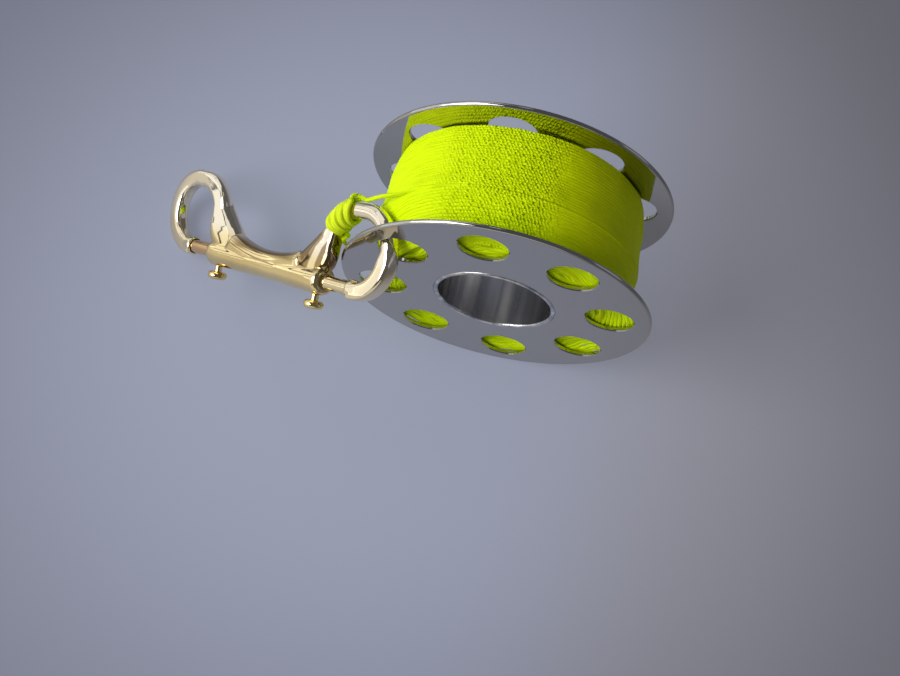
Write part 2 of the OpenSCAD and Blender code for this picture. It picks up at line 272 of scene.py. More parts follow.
@dataclass(frozen=True)
class PolishedBronze(Finish):
    """Pale bronze, cast and buffed: a warm mirror that keeps a slight waviness.

    Attributes:
        worn_from: How far off the bar the worn, paler tone starts.
        worn_ends: The share of that tone at the ends of the snap.
        hollow_at: How far off the bar the painted shade in the hollow of the back starts.
        middle: The middle of the bar.
        out: The way from the bar to the eyes.
        run: The way along the bar.
        flank_shade_share: The share of the painted shade on the flanks of the tied neck.
        ridge_half: Half the width of the ridge between those flanks, which is left without the painted shade.
        ridge: Where the ridge is, as millimetres off the bar and along it.
    """

    wave_mm: float = 5.0
    patch_mm: float = 11.0
    tint: str = "#D8B67C"
    worn: str = "#F9EED6"
    worn_from: float = 1.0
    worn_ends: float = 0.0
    # Colour of the painted shade in the hollow of the back and on the flanks of the tied neck
    hollow_shade: str = "#7A5A2C"
    hollow_at: float = 1.0
    middle: tuple[float, float, float] = (-73.6 * MM, -17.8 * MM, -16.5 * MM)
    out: tuple[float, float, float] = (-0.0113, 0.9008, 0.4341)
    run: tuple[float, float, float] = (0.7745, -0.2667, 0.574)
    flank_shade_share: float = 0.0
    ridge_half: float = 1.1 * MM
    ridge: tuple[tuple[float, float], ...] = (
        (-20.4, -36.7), (-17.4, -36.4), (-15.2, -35.8), (-12.4, -34.9), (-9.2, -32.4),
    )

    def paint(self, by: Painter) -> None:
        """Adds the waviness of a buffed casting, a warmer tone where it is handled, and painted shade on the
        back and on the tied neck.
        """
        place = by.place()
        patches = by.noise(place, self.patch_mm, 3.0)
        shade = by.mix(by.ramp(patches, 0.42, 0.75, 0.0, 0.4), self.colour, self.tint)
        off = by.measure("DOT_PRODUCT", place, self.out)
        away = by.measure("DISTANCE", place, self.middle)
        eyes = by.ease(off, self.worn_from, self.worn_from + 6 * MM)
        ends = by.ease(away, 30 * MM, 40 * MM, 0.0, self.worn_ends)
        shade = by.mix(by.sum("MAXIMUM", eyes, ends), shade, self.worn)
        # Painted shade: the hollow of the back, between the necks, takes a darker colour
        deep = by.ease(off, self.hollow_at, self.hollow_at + 1.4 * MM)
        here = by.ease(away, 13 * MM, 21 * MM, 0.65, 0.0)
        shade = by.mix(by.sum("MULTIPLY", deep, here), shade, self.hollow_shade)
        # Painted shade on the flanks of the tied neck, in the same darker colour as the hollow
        if self.flank_shade_share:
            shade = by.mix(self.flanks(by, place, off), shade, self.hollow_shade)
        gloss = by.ramp(patches, 0.3, 0.7, self.roughness, self.roughness + 0.04)
        waves = by.bump(by.noise(place, self.wave_mm, 2.0), 0.06, 0.00008)
        by.use({"Base Color": shade, "Roughness": gloss, "Normal": waves})

    def flanks(self, by: Painter, place: Socket, off: Socket) -> Socket:
        """Finds the flanks of the tied neck, which take painted shade, and leaves the ridge between them
        without it.

        Args:
            by: The painter of the material.
            place: The place in the part.
            off: How far the place is from the bar towards the eyes.

        Returns:
            The share of the painted shade.
        """
        along = by.measure("DOT_PRODUCT", place, self.run)
        line: Any = self.ridge[0][1] * MM
        for (off_a, run_a), (off_b, run_b) in zip(self.ridge, self.ridge[1:]):
            line = by.sum("ADD", line, by.ramp(off, off_a * MM, off_b * MM, 0.0, (run_b - run_a) * MM))
        far = by.sum("ABSOLUTE", by.sum("SUBTRACT", along, line))
        share = by.ease(far, self.ridge_half, self.ridge_half + 0.7 * MM)
        for bound in (
            by.ease(along, -45.5 * MM, -41.5 * MM),
            by.ease(along, -29.5 * MM, -27 * MM, 1.0, 0.0),
            by.ease(off, -20.6 * MM, -18.8 * MM),
            by.ease(off, -9 * MM, -6 * MM, self.flank_shade_share, 0.0),
        ):
            share = by.sum("MULTIPLY", share, bound)
        return share


@dataclass(frozen=True)
class DrawnWire(Finish):
    """Spring wire, drawn and left as it came."""

    def paint(self, by: Painter) -> None:
        """Adds the uneven gloss of drawn wire."""
        by.use({"Roughness": by.ramp(by.noise(by.place(), 0.3, 2.0), 0.0, 1.0, 0.2, 0.45)})


@dataclass(frozen=True)
class BraidedNylon(Finish):
    """Dyed nylon line, braided: small crossing picks, matt, with a dye that glows in light.

    The texture coordinates of the line run along it in millimetres and once round it.

    Attributes:
        pick_mm: Length of a pick along the line.
        depth_mm: Depth of the grooves between the picks.
        crease: How strong the creases along the line are, in their bumps and in their painted shade.
        groove_shade: Colour of the painted shade in the grooves and creases.
        side_shade: Colour of the painted shade on the right side of the winding, away from the key light.
        calm_sides: True if the picks fade at the sides, where the turns are pressed together, and the right
            side takes painted shade.
    """

    pick_mm: float = 1.05
    depth_mm: float = 0.05
    crease: float = 0.55
    groove_shade: str = "#8FA400"
    side_shade: str = "#D8E200"
    calm_sides: bool = False

    def picks(self, by: Painter, place: Socket) -> Socket:
        """Builds the height of the braid: picks that slant across the line.

        Args:
            by: The painter of the material.
            place: The place in the part, which makes the picks uneven.

        Returns:
            The height, from 0 in a groove to 1 on a pick.
        """
        axes = by.axes(by.node("TexCoord")["UV"])
        shift = by.ramp(by.noise(place, 1.5, 2.0), 0.0, 1.0, -5.5, 5.5)
        along = by.sum("MULTIPLY_ADD", axes[0], 2 * math.pi / self.pick_mm, shift)
        wave = by.sum("SINE", by.sum("MULTIPLY_ADD", axes[1], 3 * math.pi, along))
        return by.sum("POWER", by.ramp(wave, -1.0, 1.0), 0.55)

    def fibres(self, by: Painter) -> Socket:
        """Returns creases along the line where it is pressed flat, from 0 in a crease to 1."""
        flat = by.node("Mapping", {"Vector": by.node("TexCoord")["UV"], "Scale": (0.11, 11.0, 1.0)})[0]
        return by.ramp(by.noise(flat, 1000.0, 2.0), 0.36, 0.56)

    def paint(self, by: Painter) -> None:
        """Adds the picks, the creases, painted shade in the grooves and creases and on the right side, and the
        fuzz of the fibres.
        """
        place = by.place()
        height, run = self.picks(by, place), self.fibres(by)
        depth: Any = 0.35
        if self.calm_sides:
            across = by.axes(place)[0]
            rise = by.ease(across, -27 * MM, -14 * MM, 0.08, 1.0)
            depth = by.sum("MULTIPLY", rise, by.ease(across, 6 * MM, 19 * MM, 1.0, 0.06))
        # Painted shade: the grooves between the picks and the creases along the line are darkened
        seen = by.sum("MULTIPLY", by.ramp(height, 0.0, 0.6, 0.42, 0.0), depth)
        dark = by.sum("MAXIMUM", seen, by.ramp(run, 0.0, 1.0, self.crease, 0.0))
        shade = by.mix(dark, self.colour, self.groove_shade)
        if self.calm_sides:
            # Painted shade on the right side of the winding, away from the key light
            shade = by.mix(by.ease(across, 2 * MM, 24 * MM, 0.0, 0.7), shade, self.side_shade)
        fuzz = by.bump(by.noise(place, 0.5, 3.0), 0.15, 0.00006)
        creased = by.bump(run, self.crease, 0.00008, fuzz)
        by.use({"Base Color": shade, "Normal": by.bump(height, depth, self.depth_mm * MM, creased)})
        by.shader.inputs["Specular IOR Level"].default_value = 0.08


@dataclass(frozen=True)
class StudioCard(Finish):
    """Painted board of the studio floor: matt, with a trace of unevenness."""

    mottle_mm: float = 90.0
    pool_colour: str = "#9499AC"
    pool_share: float = 0.6
    pool_middle: tuple[float, float, float] = (-0.0315, -0.0116, -0.0475)
    pool_from: float = 0.055
    pool_to: float = 0.232
    edge_level: float = 0.1
    far_from: float = 0.24
    far_to: float = 0.85
    far_level: float = 0.4
    warm_pool: str = "#9494A0"
    warm_colour: str = "#B4B4C1"
    warm_from: float = 0.0
    warm_to: float = 0.08
    glare_colour: str = "#E6E3DA"
    glare_level: float = 0.8
    glare_way: tuple[float, float, float] = (-0.8, -0.6, 0.0)
    glare_from: float = 0.09
    glare_to: float = 0.21

    def paint(self, by: Painter) -> None:
        """Adds a faint mottle, and the soft pool of light of the studio round the object."""
        place = by.place()
        gloss = by.ramp(by.noise(place, self.mottle_mm, 2.0), 0.0, 1.0, self.roughness - 0.05, self.roughness)
        away = by.measure("DISTANCE", place, self.pool_middle)
        near = by.ease(away, self.pool_from, self.pool_to, 1.0, self.edge_level)
        far = by.ease(away, self.far_from, self.far_to, 0.0, self.far_level)
        # The light is warmer on the right, past the spool
        right = by.ease(by.axes(place)[0], self.warm_from, self.warm_to)
        by.use({"Roughness": gloss, "Base Color": by.mix(right, self.colour, self.warm_colour)})
        tone = by.mix(right, self.pool_colour, self.warm_pool)
        pool = by.node("Emission", {"Color": tone, "Strength": by.sum("MAXIMUM", near, far)})
        # The pool is background only: the camera and the mirror of the metal see it
        path = by.node("LightPath")
        seen = by.sum("MAXIMUM", path["Is Camera Ray"], path["Is Glossy Ray"])
        share = by.sum("MULTIPLY", seen, self.pool_share)
        both = by.node("MixShader", {0: share, 1: by.shader.outputs[0], 2: pool[0]})
        # Further to the left the floor carries a painted reflection of a lit wall: an emission that only glossy
        # rays see, so only the metal mirrors it
        rise = by.ease(by.measure("DOT_PRODUCT", place, self.glare_way), self.glare_from, self.glare_to)
        mirrored = by.sum("MULTIPLY", rise, path["Is Glossy Ray"])
        wall = by.node("Emission", {"Color": hex_colour(self.glare_colour), "Strength": self.glare_level})
        last = by.node("MixShader", {0: mirrored, 1: both[0], 2: wall[0]})
        by.tree.links.new(last[0], by.tree.nodes["Material Output"].inputs[0])


class Coat(Enum):
    """The finishes of this object and of the floor under it."""

    FLANGE = LappedStainless("lapped_stainless", "#BDBAB4", 1.0, 0.05)
    HUB = BrushedBore("brushed_stainless_bore", "#E9E7E3", 1.0, 0.2)
    LINE = BraidedNylon("braided_nylon_line", "#DDF900", 0.0, 0.62, crease=0.42)
    # A lighter copy of the line's colour: painted light on the hitch
    HITCH_PAINTED_LIGHTER = BraidedNylon("braided_nylon_hitch_painted_lighter", "#E6FA28", 0.0, 0.62, crease=0.42)
    WINDING = BraidedNylon(
        "braided_nylon_winding", "#DDF900", 0.0, 0.62, depth_mm=0.17, crease=0.22, calm_sides=True
    )
    # A darker copy of the line's colour: painted shade on the bulk, in the gaps between turns
    SHADED_UNDER_LINE = BraidedNylon("shaded_nylon_under_turns", "#B4CC00", 0.0, 0.75, crease=0.0)
    SNAP = PolishedBronze(
        "polished_pale_bronze", "#F2DCA4", 1.0, 0.05, worn_from=-18.0 * MM, worn_ends=0.6, hollow_at=-19.3 * MM,
        flank_shade_share=0.75,
    )
    LEFT_BOLT = PolishedBronze("turned_bronze_bolt", "#E6C190", 1.0, 0.10)
    RIGHT_BOLT = PolishedBronze("turned_pale_bronze_bolt", "#F4E2B6", 1.0, 0.08, tint="#E8D4A2")
    KNOB = PolishedBronze("turned_bronze_knob", "#F5DC98", 1.0, 0.09)
    SPRING = DrawnWire("drawn_spring_wire", "#A9A9A9", 1.0, 0.3)
    FLOOR = StudioCard("studio_floor_card", "#B4B9D0", 0.0, 0.6)

    def put_on(self, piece: bpy.types.Object) -> None:
        """Makes this the only finish of a piece."""
        piece.data.materials.clear()
        piece.data.materials.append(self.value.material())


# ------------------------------------------------------------------------ shapes


def unit(v: np.ndarray) -> np.ndarray:
    """Returns each row of v with a length of one."""
    return v / np.maximum(np.linalg.norm(v, axis=-1, keepdims=True), 1e-12)


def way_at(degrees: float) -> tuple[float, float]:
    """Returns the cosine and the sine of an angle."""
    a = math.radians(degrees)
    return math.cos(a), math.sin(a)


def bell(x: np.ndarray, middle: float, width: float) -> np.ndarray:
    """Returns a soft hump, which is 1 at its middle and falls off over its width."""
    return np.exp(-(((x - middle) / width) ** 2))


def log_faces(piece: bpy.types.Object) -> None:
    """Logs a new piece and how many faces it has."""
    LOG.info("%s: %d faces", piece.name, len(piece.data.polygons))


def finish_nodes(nodes: dict[str, bpy.types.Object], finishes: Sequence[tuple[str, Coat]]) -> None:
    """Gives the nodes that keep their CAD shapes their finishes."""
    for name, coat in finishes:
        coat.put_on(nodes[name])
        LOG.info("%s: %s", name, coat.value.name)


def round_of(count: int) -> np.ndarray:
    """Returns that many even steps of one turn, in radians."""
    return np.linspace(0, 2 * math.pi, count, endpoint=False)


def pressed_round(turn: np.ndarray, power: float | np.ndarray) -> tuple[np.ndarray, np.ndarray]:
    """Returns places on a round of radius one, which grows squarer as the power falls below one."""
    c, s = np.cos(turn), np.sin(turn)
    return np.sign(c) * np.abs(c) ** power, np.sign(s) * np.abs(s) ** power


def smooth_route(points: Sequence[Sequence[float]], step: float) -> np.ndarray:
    """Runs a smooth curve through points, at an even step.

    Args:
        points: The places that the curve passes.
        step: About how far apart the new points are.

    Returns:
        The new points, one row each, from the first place to the last.
    """
    p = np.array(points, float)
    p = np.vstack([2 * p[0] - p[1], p, 2 * p[-1] - p[-2]])
    out = []
    for i in range(1, len(p) - 2):
        count = max(2, int(round(np.linalg.norm(p[i + 1] - p[i]) / step)))
        t = np.linspace(0, 1, count, endpoint=False)[:, None]
        a, b, c, d = p[i - 1], p[i], p[i + 1], p[i + 2]
        out.append(
            0.5
            * (2 * b + (c - a) * t + (2 * a - 5 * b + 4 * c - d) * t**2 + (3 * b - a - 3 * c + d) * t**3)
        )
    return np.vstack(out + [p[-2:-1]])


def route_length(points: np.ndarray) -> float:
    """Returns the length along a row of points."""
    return float(np.linalg.norm(np.diff(points, axis=0), axis=1).sum())


def mesh_piece(
    name: str,
    vertices: np.ndarray,
    faces: Sequence[Sequence[int]],
    corner_uvs: np.ndarray | None = None,
) -> bpy.types.Object:
    """Makes a smooth-shaded mesh object at the origin.

    Args:
        name: Name of the piece.
        vertices: One row for each vertex, in metres.
        faces: Vertex numbers of each face.
        corner_uvs: Texture coordinates of each face corner, in the order of the faces.

    Returns:
        The new object.
    """
    mesh = bpy.data.meshes.new(name)
    mesh.from_pydata(np.asarray(vertices).tolist(), [], [list(f) for f in faces])
    mesh.polygons.foreach_set("use_smooth", [True] * len(mesh.polygons))
    if corner_uvs is not None:
        layer = mesh.uv_layers.new(name="run")
        layer.data.foreach_set("uv", np.asarray(corner_uvs, np.float32).ravel())
    mesh.update()
    made = bpy.data.objects.new(name, mesh)
    bpy.context.scene.collection.objects.link(made)
    return made


@dataclass
class Strand:
    """A length of line: a tube along a route, whose section may be pressed flat.

    Attributes:
        route: The middle of the line, one row for each ring.
        toward: Which way is out at each ring.
        across: Half the width of the section at each ring, or one for all.
        out: Half its height at each ring, or one for all.
        sides: Corners of the section.
        square: 2 for an oval section, and more for one that is pressed square.
        run: Millimetres along the line at each ring for its texture, or None to measure them.
    """

    route: np.ndarray
    toward: np.ndarray
    across: np.ndarray | float = 0.65 * MM
    out: np.ndarray | float = 0.65 * MM
    sides: int = 12
    square: float = 2.0
    run: np.ndarray | None = None

    def build(self, name: str) -> bpy.types.Object:
        """Makes the tube, closed at both ends.

        Args:
            name: Name of the piece.

        Returns:
            The new object.
        """
        p, n = self.route, len(self.route)
        heading = unit(np.gradient(p, axis=0))
        up = unit(self.toward - (self.toward * heading).sum(1, keepdims=True) * heading)
        side = np.cross(heading, up)
        x, y = pressed_round(round_of(self.sides) + math.pi / self.sides, 2 / self.square)
        wide = np.broadcast_to(self.across, n)[:, None] * x
        high = np.broadcast_to(self.out, n)[:, None] * y
        rings = p[:, None] + wide[..., None] * side[:, None] + high[..., None] * up[:, None]
        along = self.run
        if along is None:
            along = np.concatenate([[0], np.cumsum(np.linalg.norm(np.diff(p, axis=0), axis=1))]) / MM
        faces, uvs = [], []
        for i in range(n - 1):
            here, there = i * self.sides, (i + 1) * self.sides
            for s in range(self.sides):
                t = (s + 1) % self.sides
                faces.append((here + s, here + t, there + t, there + s))
                v0, v1 = s / self.sides, (s + 1) / self.sides
                uvs += [(along[i], v0), (along[i], v1), (along[i + 1], v1), (along[i + 1], v0)]
        faces.append(tuple(range(self.sides - 1, -1, -1)))
        faces.append(tuple((n - 1) * self.sides + s for s in range(self.sides)))
        uvs += [(along[0], 0.0)] * self.sides + [(along[-1], 0.0)] * self.sides
        return mesh_piece(name, rings.reshape(-1, 3), faces, np.array(uvs))


def turned(outline: Sequence[tuple[float, float]], segments: int) -> Form:
    """Turns an outline round the Y axis.

    Args:
        outline: Pairs of a radius and a place along Y.
        segments: Steps of the turn.

    Returns:
        Vertices and faces.
    """
    a = round_of(segments)
    o = np.array(outline, float)
    ring = np.stack(
        [np.outer(np.cos(a), o[:, 0]), np.tile(o[:, 1], (segments, 1)), np.outer(np.sin(a), o[:, 0])],
        axis=-1,
    )
    count = len(o)
    faces = []
    for i in range(segments):
        j = (i + 1) % segments
        for k in range(count - 1):
            faces.append((i * count + k, i * count + k + 1, j * count + k + 1, j * count + k))
    return ring.reshape(-1, 3), faces


def skin(rings: Sequence[np.ndarray]) -> Form:
    """Joins rings of the same count of points into a closed form.

    Args:
        rings: The rings, in order along the form.

    Returns:
        Vertices and faces.
    """
    count, sides = len(rings), len(rings[0])
    faces: list[tuple[int, ...]] = [tuple(range(sides))]
    for i in range(count - 1):
        for s in range(sides):
            t = (s + 1) % sides
            faces.append((i * sides + t, i * sides + s, (i + 1) * sides + s, (i + 1) * sides + t))
    faces.append(tuple((count - 1) * sides + s for s in range(sides - 1, -1, -1)))
    return np.vstack(rings), faces


def spun(outline: Sequence[tuple[float, float]], segments: int) -> Form:
    """Turns an outline round the X axis into a closed form.

    Args:
        outline: Pairs of a place along X and a radius. The first and the last radius are 0.
        segments: Steps of the turn.

    Returns:
        Vertices and faces.
    """
    turn = round_of(segments)
    rings = []
    for x, r in outline:
        wide = max(r, 0.01 * MM)
        rings.append(np.stack([np.full_like(turn, x), wide * np.cos(turn), wide * np.sin(turn)], axis=1))
    return skin(rings)


def apply_modifiers(piece: bpy.types.Object) -> None:
    """Bakes the modifiers of a piece into its mesh."""
    graph = bpy.context.evaluated_depsgraph_get()
    graph.update()
    old = piece.data
    piece.data = bpy.data.meshes.new_from_object(piece.evaluated_get(graph))
    piece.modifiers.clear()
    bpy.data.meshes.remove(old)


def outward(piece: bpy.types.Object) -> None:
    """Turns the faces of a closed piece outward."""
    shape = bmesh.new()
    shape.from_mesh(piece.data)
    bmesh.ops.recalc_face_normals(shape, faces=shape.faces)
    shape.to_mesh(piece.data)
    shape.free()


# ----------------------------------------------------------------- places of the part


@dataclass(frozen=True)
class SnapPlace:
    """Where the snap is: X runs along its bar and Y from the bar to the eyes."""

    middle: tuple[float, float, float] = (-73.6 * MM, -17.8 * MM, -16.5 * MM)
    heading: float = -19.0
    lean: float = 35.0
    roll: float = 32.0
    eye_r: float = 11.9 * MM
    eye_along: float = 41.8 * MM
    eye_off: float = 11.4 * MM
    eye_half: float = 1.4 * MM

    @property
    def matrix(self) -> Matrix:
        """The snap's own frame in the frame of the part."""
        return (
            Matrix.Translation(self.middle)
            @ Matrix.Rotation(math.radians(self.heading), 4, "Z")
            @ Matrix.Rotation(math.radians(-self.lean), 4, "Y")
            @ Matrix.Rotation(math.radians(self.roll), 4, "X")
        )

    def to_part(self, points: np.ndarray) -> np.ndarray:
        """Moves points from the snap's own frame to that of the part."""
        m = np.array(self.matrix)
        return np.atleast_2d(points) @ m[:3, :3].T + m[:3, 3]

    def ways_to_part(self, ways: np.ndarray) -> np.ndarray:
        """Turns ways from the snap's own frame to that of the part."""
        return self.to_part(ways) - self.to_part(np.zeros(3))

    def on_eye(self, a: float, b: float, r: float) -> np.ndarray:
        """Finds a place near the round of the right eye, in the snap's own frame.

        Args:
            a: Degrees on the round.
            b: Degrees round the wire of the eye, from its outer side.
            r: Distance from the middle of the wire.

        Returns:
            The place.
        """
        (c, s), (across, through) = way_at(a), way_at(b)
        out = self.eye_r + r * across
        return np.array([self.eye_along - self.eye_half + out * c, self.eye_off + out * s, r * through])


def on_spool(angle: float, y: float, r: float) -> np.ndarray:
    """Returns the place at an angle round the spool's axis, a place along it and a radius."""
    c, s = way_at(angle)
    return np.array([r * c, y, r * s])


# --------------------------------------------------------------------- the wound line


@dataclass
class WoundLine:
    """The line on the hub: its outer turns, the turns that show at its sides, and its bulk."""

    line_d: float = 1.3 * MM
    turns: int = 38
    rings: int = 120
    last_y: float = 17.3 * MM
    end_angle: float = 205.0
    over_y: float = -3.9 * MM
    over_r: float = 40.7 * MM
    off_angle: float = 472.0
    picks_in_turn: float = 234.43
    profile: tuple[tuple[float, float], ...] = (
        (-18.15, 31.4), (-15.6, 34.8), (-13, 36.8), (-8, 39.2), (-3, 39.8), (10, 39.8),
        (15, 39.2), (18.15, 38.2),
    )
    slack: tuple[tuple[float, float], ...] = (
        (7, 42.6), (30, 40), (52, 40.5), (97, 40), (125, 32), (142, 29), (160, 31), (187, 38.5),
        (210, 42.4), (232, 43.4), (277, 43.6), (322, 43.4), (345, 43), (367, 42.6),
    )

    def radius(self, y: np.ndarray) -> np.ndarray:
        """Returns the radius of the winding at places along the axis."""
        at, r = np.array(self.profile).T * MM
        near = np.linspace(-1.2, 1.2, 7) * MM
        plain = np.mean([np.interp(y + d, at, r) for d in near], axis=0)
        return plain + 0.75 * MM * bell(y, self.over_y, 5 * MM)

    def slope(self, y: np.ndarray) -> np.ndarray:
        """Returns how fast the radius grows along the axis."""
        return (self.radius(y + 0.3 * MM) - self.radius(y - 0.3 * MM)) / (0.6 * MM)

    def gather(self, angle: np.ndarray, y: np.ndarray) -> np.ndarray:
        """Finds how far the turns are drawn together where the line leaves the spool.

        Args:
            angle: Degrees round the spool.
            y: Places along the axis.

        Returns:
            How far each place is moved along the axis.
        """
        return -5.5 * MM * bell(angle % 360, 176, 40) * bell(y, -1 * MM, 10.5 * MM)

    def calm(self, angle: np.ndarray) -> np.ndarray:
        """Returns how tightly the turns are pressed together, from 0 on top to 1 at the sides."""
        across = np.cos(np.radians(angle))
        return 1 - np.clip((across + 0.68) / 0.3, 0, 1) * np.clip((0.48 - across) / 0.3, 0, 1)

    def swell(self, angle: np.ndarray, y: np.ndarray) -> np.ndarray:
        """Returns how far the turns rise beside the last one, where it leaves the spool."""
        at = np.interp(angle % 360, [84, 106, 132, 146], [0, 1, 1, 0])
        return 0.85 * MM * at * bell(y, self.over_y, 3.4 * MM)

    def outer_turns(self) -> tuple[np.ndarray, np.ndarray, np.ndarray, np.ndarray]:
        """Finds the route of the outer turns, which wander a little as hand-wound turns do.

        Returns:
            The route, and at each ring the way out, half the width and the run of the texture.
        """
        count = self.turns * self.rings
        part = np.arange(count + 1) / count
        y = -self.last_y + 2 * self.last_y * part
        angle = self.end_angle - 360 * self.turns * (1 - part)
        fade = np.clip((1 - part) * self.turns * 4, 0, 1) * np.clip(part * self.turns * 4, 0, 1)
        drawn = self.gather(angle, y)
        spread = 1 + fade * (self.gather(angle, y + 0.5 * MM) - self.gather(angle, y - 0.5 * MM)) / MM
        y = y + fade * drawn
        # The turns make room for the last one, which is bedded between two of them
        beside = (y - self.over_y) / (2.5 * MM)
        room = fade * np.interp(angle % 360, [0, 138, 150, 325, 340, 360], [1, 1, 0, 0, 1, 1])
        y = y + room * 0.45 * MM * np.sign(beside) * np.exp(-np.abs(beside))
        r = self.radius(y) + self.swell(angle, y) - self.line_d / 2
        route = []
        for a, yy, rr, k in zip(angle, y, r, fade):
            p = Vector(on_spool(a, yy, rr))
            turn = math.floor(a / 360)
            stray = 0.22 * noise.noise(p / (9 * MM)) + 0.06 * noise.noise(Vector((a / 8, turn * 7.3, 0)))
            lift = 0.3 * noise.noise(p / (6 * MM) + Vector((7, 3, 1)))
            lift += 0.1 * noise.noise(Vector((a / 5, turn * 3.7, 9)))
            route.append(on_spool(a, yy + k * stray * MM, rr + k * lift * MM))
        tilt = self.slope(y)
        toward = np.array([[c, -t, s] for (c, s), t in zip(map(way_at, angle), tilt)])
        width = 2 * self.last_y / self.turns * np.sqrt(1 + tilt**2) * (0.57 + 0.2 * self.calm(angle)) * spread
        # Each turn's picks are staggered against those of the turn beside it
        run = angle / 360 * self.picks_in_turn * Coat.WINDING.value.pick_mm
        return np.array(route), toward, width, run

    def over_turn(self) -> tuple[np.ndarray, np.ndarray, np.ndarray, np.ndarray]:
        """Finds the route of the last turn, which crosses below the spool and is then bedded.

        Returns:
            The route, the way out, and half the width and height of the line at each ring.
        """
        even = np.arange(32.5, self.off_angle - self.end_angle + 0.1, 2.5)
        past = np.concatenate([[10, 15, 20, 25], even])
        y = np.interp(past, [10, 15, 20, 25, 140], [16.8, 16, 14.8, 13.4, self.over_y / MM]) * MM
        rise = np.interp(past, [10, 15, 20, 25, 35], [-1.8, -0.9, -0.4, -0.2, 0])
        bed = np.interp(past, [125, 145, 248, 262], [0, 1, 1, 0])
        r = self.over_r + (rise - 0.72 * bed) * MM
        route = np.array([on_spool(self.end_angle + a, yy, rr) for a, yy, rr in zip(past, y, r)])
        flat = 0.56 * 2 * self.last_y / self.turns
        width = self.line_d / 2 + bed * (flat - self.line_d / 2)
        return route, route * np.array([1, 0, 1]), width, np.full(len(past), self.line_d / 2)

    def build_turns(self) -> bpy.types.Object:
        """Makes the outer turns and the last turn, which lies on them, as one unbroken line."""
        route, toward, width, run = self.outer_turns()
        over, over_toward, over_width, over_height = self.over_turn()
        over_run = np.arange(1, len(over) + 1) * 2.5 * math.pi / 180 * self.over_r / MM
        return Strand(
            np.vstack([route, over]),
            np.vstack([unit(toward), unit(over_toward)]),
            np.concatenate([width, over_width]),
            np.concatenate([np.full(len(route), self.line_d * 0.46), over_height]),
            sides=12,
            square=2.4,
            run=np.concatenate([run, run[-1] + over_run]),
        ).build("winding_turns")

    def build_side(self, name: str, y: float, r_from: float, r_to: float, slack: float) -> bpy.types.Object:
        """Makes the turns that show at one side of the winding, through the holes of a flange.

        Args:
            name: Name of the piece.
            y: Where the turns lie along the axis.
            r_from: Radius of the outermost turn.
            r_to: Radius of the innermost turn.
            slack: 1 where the turns have slipped down against the flange, or 0.

        Returns:
            The new piece.
        """
        pitch = 0.98 * MM
        route = []
        for i in range(int((r_from - r_to) / pitch * 96)):
            a, r = i * 360 / 96, r_from - pitch * i / 96
            p = on_spool(a, y, r)
            at, far = np.array(self.slack).T
            hang = slack * (np.interp((a - 7) % 360 + 7, at, far) * MM - r_from) * (r - r_to) / (r_from - r_to)
            wave = 0.5 * noise.noise(Vector(p) / (4 * MM))
            wave += 0.35 * noise.noise(Vector((a / 12, i // 96 * 5.1, 2)))
            sink = 0.22 * (1 + noise.noise(Vector((a / 9, i // 96 * 2.3, 5))))
            p = on_spool(a, y, r + hang + (0.4 + 0.6 * slack) * wave * MM)
            press = slack * self.press_into_hole(p)
            p[1] -= math.copysign(sink * (1 - press) - 1.15 * press, y) * MM
            route.append(p)
        route = np.array(route)
        toward = np.tile([0.0, math.copysign(1, y), 0.0], (len(route), 1))
        return Strand(route, toward, 0.68 * MM, 0.55 * MM, sides=8, square=2.3).build(name)

    def press_into_hole(self, place: np.ndarray) -> float:
        """Returns from 0 to 1 how far a place at the front flange is in a hole without the snap."""
        near = 1.0
        for i in (0, 1, 2, 4, 5, 6, 7):
            at = on_spool(7 + 45 * i, place[1], 35 * MM)
            near = min(near, np.linalg.norm(place - at) / (7.3 * MM))
        t = min(1.0, max(0.0, (0.88 - near) / 0.36))
        return t * t * (3 - 2 * t)

    def build_bulk(self) -> bpy.types.Object:
        """Makes the bulk of the line, which shows only in the gaps between turns."""
        ys = np.linspace(-17.2, 17.2, 60) * MM
        rr = self.radius(ys) - self.line_d * 0.8
        outline = [(19.0 * MM, ys[0])] + list(zip(rr, ys)) + [(19.0 * MM, ys[-1])]
        vertices, faces = turned(outline, 120)
        return mesh_piece("winding_bulk", vertices, faces)

    def dress(self) -> None:
        """Builds the wound line and lets it ride on the spool."""
        turns = self.build_turns()
        bulk = self.build_bulk()
        front = self.build_side("side_turns_front", -17.55 * MM, 40.0 * MM, 25.0 * MM, 1.0)
        rear = self.build_side("side_turns_rear", 17.4 * MM, 36.4 * MM, 25.5 * MM, 0.0)
        Coat.WINDING.put_on(turns)
        for piece in (bulk, front, rear):
            # The bulk takes the darker copy of the line's colour, as painted shade
            (Coat.SHADED_UNDER_LINE if piece is bulk else Coat.LINE).put_on(piece)
        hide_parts("line_outer_layer")
        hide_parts("line_core")
        for piece in (turns, bulk, front, rear):
            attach(piece, "spool")
            log_faces(piece)


# --------------------------------------------------------------------- the free line


